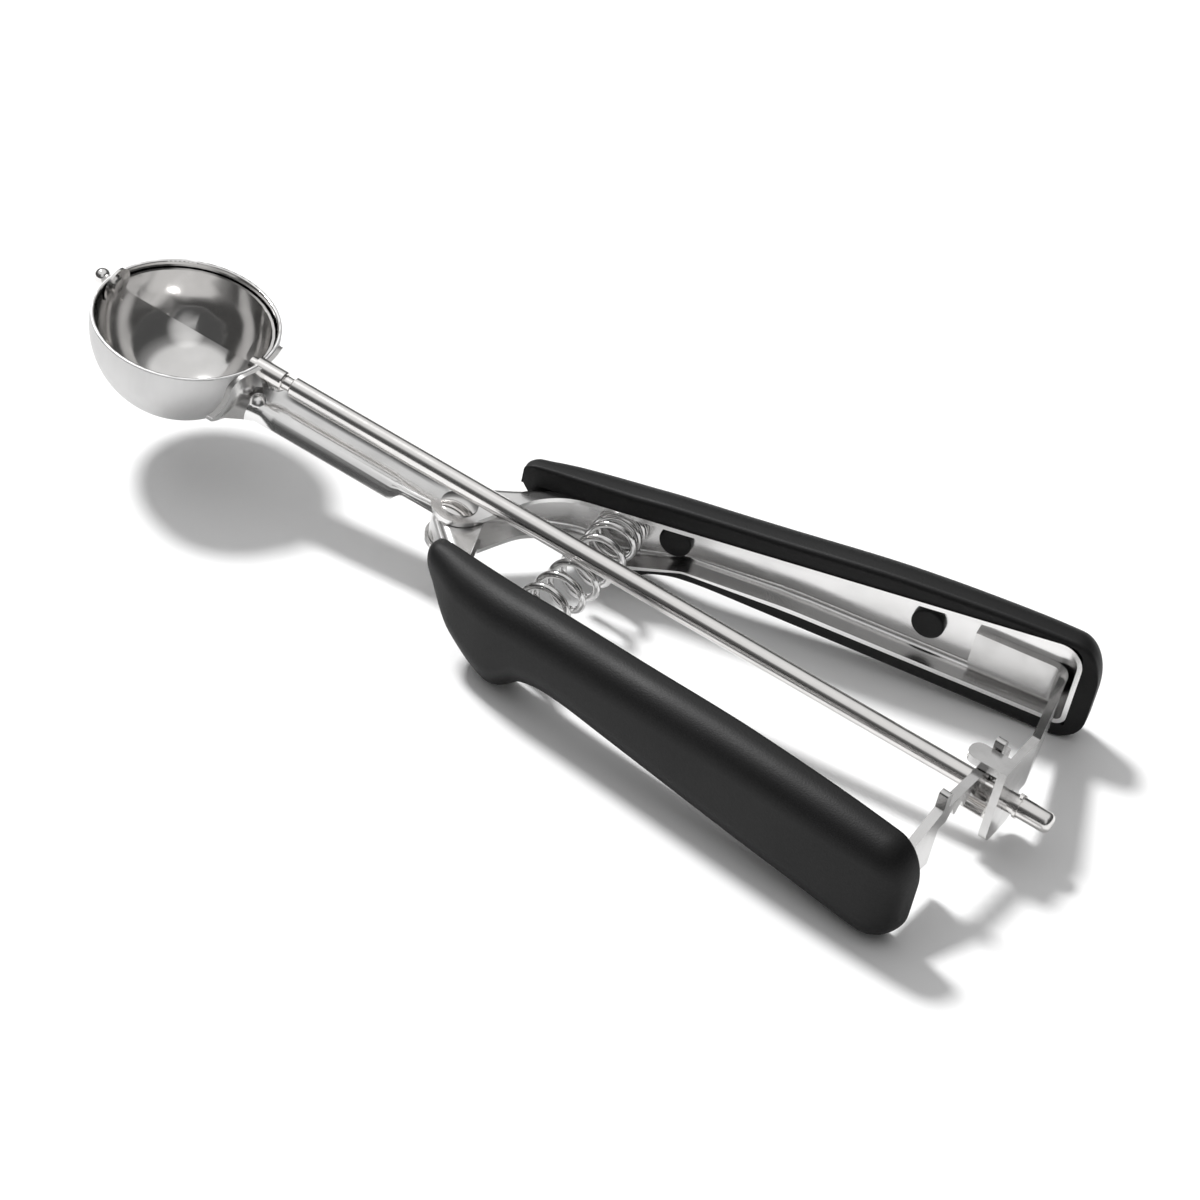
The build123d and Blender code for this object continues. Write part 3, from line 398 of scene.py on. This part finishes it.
FINISHES = {
    "polished_steel": polished_steel(),
    "turned_steel": turned_steel(),
    "stamped_steel": stamped_steel(),
    "spring_wire": spring_wire(),
    "grip_plastic": grip_plastic(),
}
PRESSED, BRUSHED, SHEARED = pressed_steel(), brushed_steel(), sheared_steel()
OWN_FINISH = {"fixed_arm": PRESSED, "lever_arm": PRESSED, "scraper_blade": FINISHES["polished_steel"]}
SLOTS = {row["node"]: row["material_slot"] for row in frame["record"]["subparts"]}
BODIES = {node: body for body, nodes in frame["record"]["behaviour"]["bodies"].items() for node in nodes}


def dress(piece, node):
    """Give a piece the finish of its node's slot, and hide the node's own part."""
    piece.data.materials.clear()
    piece.data.materials.append(OWN_FINISH.get(node, FINISHES[SLOTS[node]]))
    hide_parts(node)
    return piece


def shade(mesh, sharp_angle=SHARP_ANGLE):
    """Smooth shading with sharp edges kept."""
    mesh.polygons.foreach_set("use_smooth", [True] * len(mesh.polygons))
    mesh.set_sharp_from_angle(angle=radians(sharp_angle))
    mesh.update()


def link(name, data):
    """Put an object with this data into the scene."""
    made = bpy.data.objects.new(name, data)
    bpy.context.scene.collection.objects.link(made)
    return made


def bake(piece):
    """Turn a piece's modifiers into plain mesh."""
    bpy.context.view_layer.update()
    scene_state = bpy.context.evaluated_depsgraph_get()
    mesh = bpy.data.meshes.new_from_object(piece.evaluated_get(scene_state), depsgraph=scene_state,
                                           preserve_all_data_layers=True)
    piece.modifiers.clear()
    piece.data = mesh


def face_outwards(mesh):
    """Turn all faces of a closed mesh outwards."""
    shell = bmesh.new()
    shell.from_mesh(mesh)
    bmesh.ops.recalc_face_normals(shell, faces=shell.faces)
    shell.to_mesh(mesh)
    shell.free()


def clamped(share):
    return min(1.0, max(0.0, share))


def between(table, place):
    """Straight interpolation in a table of places."""
    for low, high in zip(table, table[1:]):
        if place <= high[0]:
            break
    return low[1] + (high[1] - low[1]) * clamped((place - low[0]) / (high[0] - low[0]))


def eased(table, place, column):
    """Smooth interpolation in a table of places, without overshoot at its peaks."""
    k = max(i for i in range(len(table) - 1) if i == 0 or table[i][0] <= place)
    slopes = [(b[column] - a[column]) / (b[0] - a[0]) for a, b in zip(table, table[1:])]

    def slope(i):
        if i == 0 or i == len(slopes):
            return slopes[min(i, len(slopes) - 1)]
        before, after = slopes[i - 1], slopes[i]
        return 2 * before * after / (before + after) if before * after > 0 else 0.0

    start, end = table[k], table[k + 1]
    span = end[0] - start[0]
    t = (place - start[0]) / span
    return ((1 + 2 * t) * (1 - t) ** 2 * start[column] + t * (1 - t) ** 2 * span * slope(k)
            + t * t * (3 - 2 * t) * end[column] + t * t * (t - 1) * span * slope(k + 1))


def arc(centre, radius, start, end, steps):
    """Points on an arc, with angles in degrees from the first direction."""
    turns = [radians(start + (end - start) * k / steps) for k in range(steps + 1)]
    return [(centre[0] + radius * cos(a), centre[1] + radius * sin(a)) for a in turns]


def arc_drop(radius, across):
    """How far an arc has fallen at a distance from its crest."""
    return radius - (radius * radius - across * across) ** 0.5


def circle(sides):
    """Angles of a circle's corners."""
    return [2 * pi * k / sides for k in range(sides)]


def on_handle(along, across, up, side=1):
    """A handle's place in the tool frame; side is 1 on the fixed handle and -1 on the lever."""
    x = PIVOT_X + along * cos(LEAN) - across * sin(LEAN)
    y = along * sin(LEAN) + across * cos(LEAN)
    return x, y * side, up


def bowl_normal(point):
    """The bowl's outward direction at a point: from its centre below, from its axis in the rim."""
    local = TOOL.inverted() @ point
    local.z = min(local.z, 0.0)
    return TOOL.to_3x3() @ local.normalized()


def roll_neck(shell):
    """Ease the neck's flat top into wide rolled shoulders, as the press leaves them."""
    first, full = NECK_ROLL_IN[0], NECK_ROLL_IN[-1]
    fade, last = NECK_ROLL_OUT[0], NECK_ROLL_OUT[-1]
    cuts = [(Vector((x * MM, 0, 0)), Vector((1, 0, 0))) for x in NECK_ROLL_IN + NECK_ROLL_OUT]
    for k in range(ROLL_STEPS + 1):
        across = (NECK_FLAT + (NECK_HALF_W - NECK_FLAT) * k / ROLL_STEPS) * MM
        cuts += [(Vector((0, side * across, 0)), Vector((0, 1, 0))) for side in (-1, 1)]
    shell.transform(TOOL.inverted())
    for place, direction in cuts:
        faces = [face for face in shell.faces if first * MM <= face.calc_center_median().x <= last * MM]
        near = set(faces)
        for face in faces:
            near.update(face.edges)
            near.update(face.verts)
        bmesh.ops.bisect_plane(shell, geom=list(near), plane_co=place, plane_no=direction)
    for vert in shell.verts:
        x, y, z = vert.co / MM
        across, depth = min(abs(y), NECK_HALF_W), NECK_TOP_Z - z
        share = min(1.0, (x - first) / (full - first), (last - x) / (last - fade),
                    (NECK_WALL_H - depth) / NECK_SKIRT)
        if share > 0 and depth > -NECK_SKIRT and across > NECK_FLAT:
            rolled = arc_drop(NECK_ROLL_R, across - NECK_FLAT)
            sharp = arc_drop(NECK_ROUND, max(0.0, across - NECK_HALF_W + NECK_ROUND))
            sunk = min(depth + (rolled - sharp) * share, max(depth, NECK_WALL_H - NECK_EDGE))
            vert.co.z = (NECK_TOP_Z - sunk) * MM
    shell.transform(TOOL)


def lift_flange(shell, side):
    """Lift a channel's low flange at the waist, so that the grip's rim shows under it."""
    shell.transform(TOOL.inverted())
    for vert in shell.verts:
        x, y, z = vert.co / MM
        along = (x - PIVOT_X) * cos(LEAN) + y * side * sin(LEAN)
        across = y * side * cos(LEAN) - (x - PIVOT_X) * sin(LEAN)
        low = between(CHANNEL_LOW, along)
        middle = (between(CHANNEL_TOP, along) + low) / 2
        share = clamped(2 * (middle - z) / (middle - low) - 1)
        if across > LIFT_INSIDE:
            vert.co.z += (between(LIFTED_LOW, along) - low) * share * MM
    shell.transform(TOOL)


def press_fixed_arm(shell):
    """What the scene adds to the fixed arm's pressing."""
    roll_neck(shell)
    lift_flange(shell, 1)


def press_lever_arm(shell):
    """What the scene adds to the lever arm's pressing."""
    lift_flange(shell, -1)


def skin(node, true_normal=None, reshape=None):
    """A node's own shape with its triangles joined and its flats and bends shaded true."""
    shell = bmesh.new()
    shell.from_mesh(frame["nodes"][node].data)
    bmesh.ops.remove_doubles(shell, verts=shell.verts, dist=MERGE_GAP)
    if reshape:
        reshape(shell)
    mesh = bpy.data.meshes.new(node + "_skin")
    shell.to_mesh(mesh)
    shell.free()
    for name in ("custom_normal", "sharp_edge", "sharp_face"):
        if name in mesh.attributes:
            mesh.attributes.remove(mesh.attributes[name])
    shade(mesh)
    piece = link(node + "_skin", mesh)
    piece.modifiers.new("true_flats", "WEIGHTED_NORMAL").keep_sharp = True
    bake(piece)
    if true_normal:
        normals = []
        for corner in piece.data.loops:
            true = true_normal(piece.data.vertices[corner.vertex_index].co)
            match = corner.normal.dot(true)
            normals.append(corner.normal if abs(match) < TRUE_MATCH else true * (1 if match > 0 else -1))
        piece.data.normals_split_custom_set(normals)
    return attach(dress(piece, node), BODIES[node])


def second_finish(piece, finish, chosen):
    """Give another finish to the faces picked by their middle and direction in the tool frame."""
    piece.data.materials.append(finish)
    back = TOOL.inverted()
    for face in piece.data.polygons:
        if chosen(back @ face.center / MM, back.to_3x3() @ face.normal):
            face.material_index = 1


def bowl_outside(middle, direction):
    """Whether a face of the bowl looks away from its centre."""
    return direction.dot(Vector((middle.x, middle.y, min(middle.z, 0.0)))) > 0


def saddle_edge(middle, direction):
    """Whether a face of the fixed arm is the cut edge of its saddle."""
    return middle.x < SADDLE_END_X and abs(direction.dot(middle.normalized())) < EDGE_SLANT


def turned(node, profile):
    """A turned piece: a profile of (along, radius) in millimetres, spun round the rod's axis."""
    rings, faces, points = [], [], []
    for along, radius in profile:
        angles = circle(ROUND_SIDES) if radius else [0.0]
        rings.append(range(len(points), len(points) + len(angles)))
        points += [(along, radius * cos(a), radius * sin(a)) for a in angles]
    for low, high in zip(rings, rings[1:]):
        for k in range(ROUND_SIDES):
            corners = (low[k % len(low)], low[(k + 1) % len(low)],
                       high[(k + 1) % len(high)], high[k % len(high)])
            faces.append(list(dict.fromkeys(corners)))
    mesh = bpy.data.meshes.new(node + "_turned")
    mesh.from_pydata([TOOL @ (Vector(point) * MM) for point in points], [], faces)
    face_outwards(mesh)
    shade(mesh)
    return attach(dress(link(node + "_turned", mesh), node), BODIES[node])


def rod_profile():
    """Journal, shoulder, clip groove and domed tip."""
    start, end, groove_r = GROOVE
    tip = arc((ROD_TIP_X - ROD_TIP_ROUND, ROD_R - ROD_TIP_ROUND), ROD_TIP_ROUND, 90, 0, FILLET_STEPS)
    return [(JOURNAL_START, 0), (JOURNAL_START, JOURNAL_R), (SHOULDER_X, JOURNAL_R),
            (SHOULDER_X, ROD_R - SHOULDER_CHAMFER), (SHOULDER_X + SHOULDER_CHAMFER, ROD_R),
            (start, ROD_R), (start, groove_r), (end, groove_r), (end, ROD_R), *tip, (ROD_TIP_X, 0)]


def bush_profile():
    """Sleeve with an eased rear edge, closed round its bore."""
    end, outer = BUSH_END - BUSH_EDGE, BUSH_OUTER_R - BUSH_EDGE
    return [(BUSH_START, BUSH_BORE_R), (BUSH_START, BUSH_OUTER_R), (end, BUSH_OUTER_R),
            (BUSH_END, outer), (BUSH_END, BUSH_BORE_R), (BUSH_START, BUSH_BORE_R)]


def grip_stations():
    """Places along a grip with the share of the section that stands there; the ends are rounded."""
    turns = [k / END_STEPS * pi / 2 for k in range(END_STEPS + 1)]
    front, front_share = GRIP_FRONT
    rear, rear_share = GRIP_REAR
    start, end = GRIP_START + front, GRIP_END - rear
    stations = [(start - front * sin(a), front_share + (1 - front_share) * cos(a))
                for a in reversed(turns)]
    stations += [(start + (end - start) * k / GRIP_STATIONS, 1.0) for k in range(1, GRIP_STATIONS)]
    return stations + [(end + rear * sin(a), rear_share + (1 - rear_share) * cos(a)) for a in turns]


def grip_ring(place, share):
    """One section of a grip, across and up: a rounded outline with the pocket that holds the channel."""
    top, low, depth = [eased(GRIP_ROWS, place, column) for column in (1, 2, 3)]
    belly = low + (top - low) * GRIP_BELLY
    top, low, depth = belly + (top - belly) * share, belly + (low - belly) * share, depth * share

    # The pocket, shallower where the channel's end is rounded, and open below where no rim is left
    past = clamped((place - CHANNEL_LENGTH + CHANNEL_END_R) / CHANNEL_END_R)
    drop = arc_drop(CHANNEL_END_R, CHANNEL_END_R * past)
    pocket = 0.0
    if place < CHANNEL_LENGTH:
        pocket = max(0.0, between(CHANNEL_WEB, place) - drop + GRIP_CLEAR - GRIP_INSIDE)
    deep = between(LIFTED_LOW, place) - GRIP_CLEAR
    foot = pocket * clamped((low + GRIP_RIM - deep) / GRIP_RIM)

    # Corner radii that the section has room for
    back, inner = GRIP_RADII[2:]
    fit = min(1.0, CORNER_SHARE * depth / (back + inner), SIDE_SHARE * (top - low) / back)
    inner_top, back_top, back_low, inner_low = [radius * fit for radius in GRIP_RADII]
    inner_low = min(inner_low, max(LEAST_R, CORNER_SHARE * (depth - foot) - back_low))
    foot = min(foot, depth - back_low - inner_low)

    high = min(between(CHANNEL_TOP, place) - drop + GRIP_CLEAR, top - inner_top - GRIP_LIP)
    deep = min(max(deep, low + inner_low), high - GRIP_LIP)
    # Across, height, radius, the way to the arc's centre, and the angle at which the arc starts
    corners = ((0, top, inner_top, 1, -1, 180), (depth, top, back_top, -1, -1, 90),
               (depth, low, back_low, -1, 1, 0), (foot, low, inner_low, 1, 1, -90))
    ring = []
    for across, height, radius, side, up, turn in corners:
        centre = (GRIP_INSIDE + across + side * radius, height + up * radius)
        ring += arc(centre, radius, turn, turn - 90, CORNER_STEPS)
    wall = GRIP_INSIDE + pocket
    return ring + [(GRIP_INSIDE + foot, deep), (wall, deep), (wall, high), (GRIP_INSIDE, high)]


def moulded_grip(node, side):
    """A grip with its two pegs; side is 1 on the fixed handle and -1 on the lever."""
    shell = bmesh.new()

    def corner(along, across, up):
        return shell.verts.new(TOOL @ (Vector(on_handle(along, across, up, side)) * MM))

    def wall(rings):
        for low, high in zip(rings, rings[1:]):
            for k in range(len(low)):
                shell.faces.new((low[k - 1], low[k], high[k], high[k - 1]))
        shell.faces.new(rings[0])
        shell.faces.new(rings[-1])

    wall([[corner(place, *point) for point in grip_ring(place, share)]
          for place, share in grip_stations()])
    round_middle = (WEB_INSIDE - PEG_HEAD_T + PEG_ROUND, PEG_HEAD_R - PEG_ROUND)
    profile = arc(round_middle, PEG_ROUND, 180, 90, FILLET_STEPS)
    profile += [(WEB_INSIDE, PEG_HEAD_R), (WEB_INSIDE, PEG_R), (WEB_INSIDE + PEG_HEAD_T, PEG_R)]
    for place in PEGS:
        height = (between(CHANNEL_TOP, place) + between(CHANNEL_LOW, place)) / 2
        wall([[corner(place + r * cos(a), across, height + r * sin(a)) for a in circle(PEG_SIDES)]
              for across, r in profile])
    bmesh.ops.remove_doubles(shell, verts=shell.verts, dist=MERGE_GAP)
    bmesh.ops.recalc_face_normals(shell, faces=shell.faces)
    mesh = bpy.data.meshes.new(node + "_moulded")
    shell.to_mesh(mesh)
    shell.free()
    shade(mesh, GRIP_SHARP_ANGLE)
    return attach(dress(link(node + "_moulded", mesh), node), BODIES[node])


def spring_tree(sizes):
    """Geometry Nodes: a compression spring on a bowed axis, close-wound at both ends."""
    group = bpy.data.node_groups.new("return_spring_wire", "GeometryNodeTree")
    for name in sizes:
        group.interface.new_socket(name, in_out="INPUT", socket_type="NodeSocketFloat")
    group.interface.new_socket("Wire", in_out="INPUT", socket_type="NodeSocketMaterial")
    group.interface.new_socket("Spring", in_out="OUTPUT", socket_type="NodeSocketGeometry")
    tree = Tree(group)
    given = tree.node("NodeGroupInput").outputs
    size = {name: Value(tree, given[name]) for name in sizes}

    # Travel along the axis against the turn: close at both ends, open between
    turns = size["End Turns"] * 2.0 + size["Open Turns"]
    line = tree.node("GeometryNodeMeshLine", None, {"Count": turns * SPRING_STEPS + 1.0})
    turn = tree.value("GeometryNodeInputIndex") / SPRING_STEPS
    pitch = (size["Bow Radius"] * size["Bow Angle"] * 2.0
             - size["End Turns"] * size["End Pitch"] * 2.0) / size["Open Turns"]
    first = turn.least(size["End Turns"])
    last = (turn - turns + size["End Turns"]).most(0.0)
    travel = (first + last) * size["End Pitch"] + (turn - first - last) * pitch

    # The wire's middle, wound round the bowed axis
    angle = size["Bow Angle"] - travel / size["Bow Radius"]
    wind = turn * (2 * pi)
    reach = size["Bow Radius"] + size["Coil Radius"] * wind.cosine()
    place = tree.node("ShaderNodeCombineXYZ", None, {
        "X": size["Bow Centre"] + reach * angle.cosine(),
        "Y": reach * angle.sine(),
        "Z": size["Axis Height"] + size["Coil Radius"] * wind.sine()})
    moved = tree.node("GeometryNodeSetPosition", None,
                      {"Geometry": line.outputs[0], "Position": place.outputs[0]})
    path = tree.node("GeometryNodeMeshToCurve", None, {0: moved.outputs[0]})
    ring = tree.node("GeometryNodeCurvePrimitiveCircle", {"mode": "RADIUS"},
                     {"Resolution": SPRING_SIDES, "Radius": size["Wire Radius"]})
    tube = tree.node("GeometryNodeCurveToMesh", None,
                     {"Curve": path.outputs[0], "Profile Curve": ring.outputs[0], "Fill Caps": True})
    smooth = tree.node("GeometryNodeSetShadeSmooth", None, {0: tube.outputs[0]})
    real = tree.node("GeometryNodeRealizeInstances", None, {0: smooth.outputs[0]})
    wired = tree.node("GeometryNodeSetMaterial", None,
                      {"Geometry": real.outputs[0], "Material": given["Wire"]})
    tree.node("NodeGroupOutput", None, {0: wired.outputs[0]})
    return group


def return_spring():
    """The spring between the handles, with an end coil on each handle's seat."""
    end_x, end_y, up = on_handle(*SPRING_SEAT)
    bow = end_y / sin(LEAN)
    sizes = {
        "Wire Radius": SPRING_WIRE_R,
        "Coil Radius": SPRING_MEAN_R,
        "End Turns": SPRING_END_TURNS,
        "Open Turns": SPRING_OPEN_TURNS,
        "End Pitch": SPRING_END_PITCH,
        "Bow Radius": bow,
        "Bow Angle": LEAN,
        "Bow Centre": end_x - bow * cos(LEAN),
        "Axis Height": up,
    }
    group = spring_tree(sizes)
    piece = link("return_spring_coil", bpy.data.meshes.new("return_spring_coil"))
    wound = piece.modifiers.new("wound", "NODES")
    wound.node_group = group
    sockets = {item.name: item.identifier for item in group.interface.items_tree if item.in_out == "INPUT"}
    for name, size in sizes.items():
        wound[sockets[name]] = float(size)
    wound[sockets["Wire"]] = FINISHES["spring_wire"]
    bake(piece)
    piece.data.transform(TOOL @ Matrix.Scale(MM, 4))
    face_outwards(piece.data)
    dress(piece, "return_spring")
    end = TOOL @ (Vector((end_x, -end_y, up)) * MM)
    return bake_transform(piece)


def studio():
    """White floor, a dim room with a panel overhead and a fill card, and a key light beyond the bowl."""
    mesh = bpy.data.meshes.new("floor")
    corners = [(x * FLOOR_HALF, y * FLOOR_HALF, 0.0) for x, y in ((-1, -1), (1, -1), (1, 1), (-1, 1))]
    mesh.from_pydata(corners, [], [(0, 1, 2, 3)])
    floor = link("floor", mesh)
    paint = Finish("white_floor")
    mesh.materials.append(paint.surface({"Base Color": FLOOR_TONE, "Roughness": FLOOR_ROUGHNESS,
                                         "Specular IOR Level": 0.0}))
    world = bpy.data.worlds.new("studio")
    bpy.context.scene.world = world
    world.use_nodes = True
    room = Tree(world.node_tree)
    room.tree.nodes.clear()
    direction = room.node("ShaderNodeTexCoord").outputs["Generated"]

    def card(middle, stops):
        middle = tuple(Vector(middle).normalized())
        closeness = room.node("ShaderNodeVectorMath", {"operation": "DOT_PRODUCT"},
                              {0: direction, 1: middle})
        return room.value("ShaderNodeValToRGB", {"stops": stops}, {0: closeness.outputs["Value"]})

    glow = card(PANEL_DIRECTION, PANEL) + card(FILL_DIRECTION, FILL)
    sky = room.node("ShaderNodeBackground", None, {"Color": glow, "Strength": 1.0})
    room.node("ShaderNodeOutputWorld", None, {"Surface": sky.outputs[0]})
    lamp = bpy.data.lights.new("key", "AREA")
    lamp.shape, lamp.size, lamp.energy = "DISK", KEY_SIZE, KEY_POWER
    key = link("key", lamp)
    aim = Vector(KEY_DIRECTION).normalized()
    key.location = aim * KEY_DISTANCE
    key.rotation_euler = aim.to_track_quat("Z", "Y").to_euler()


def camera():
    """The photograph's camera, placed in the tool frame."""
    lens = bpy.data.cameras.new("camera")
    lens.lens, lens.sensor_width = CAMERA_LENS, SENSOR
    lens.clip_start, lens.clip_end = CLIP_NEAR, CLIP_FAR
    eye = link("camera", lens)
    turn = Euler([radians(angle) for angle in CAMERA_TURN]).to_matrix().to_4x4()
    eye.matrix_world = TOOL @ Matrix.Translation(Vector(CAMERA_PLACE) * MM) @ turn
    bpy.context.scene.camera = eye


second_finish(skin("bowl", true_normal=bowl_normal), BRUSHED, bowl_outside)
second_finish(skin("fixed_arm", reshape=press_fixed_arm), SHEARED, saddle_edge)
turned("scraper_rod", rod_profile())
turned("rod_bush", bush_profile())
return_spring()
moulded_grip("fixed_grip", 1)
moulded_grip("lever_grip", -1)
skin("lever_arm", reshape=press_lever_arm)
for node in ("guide_bracket", "lever_rack", "pivot_rivet", "pinion", "rod_clip", "scraper_blade",
             "scraper_stud"):
    skin(node)
studio()
camera()
bpy.context.scene.view_settings.view_transform = "Standard"
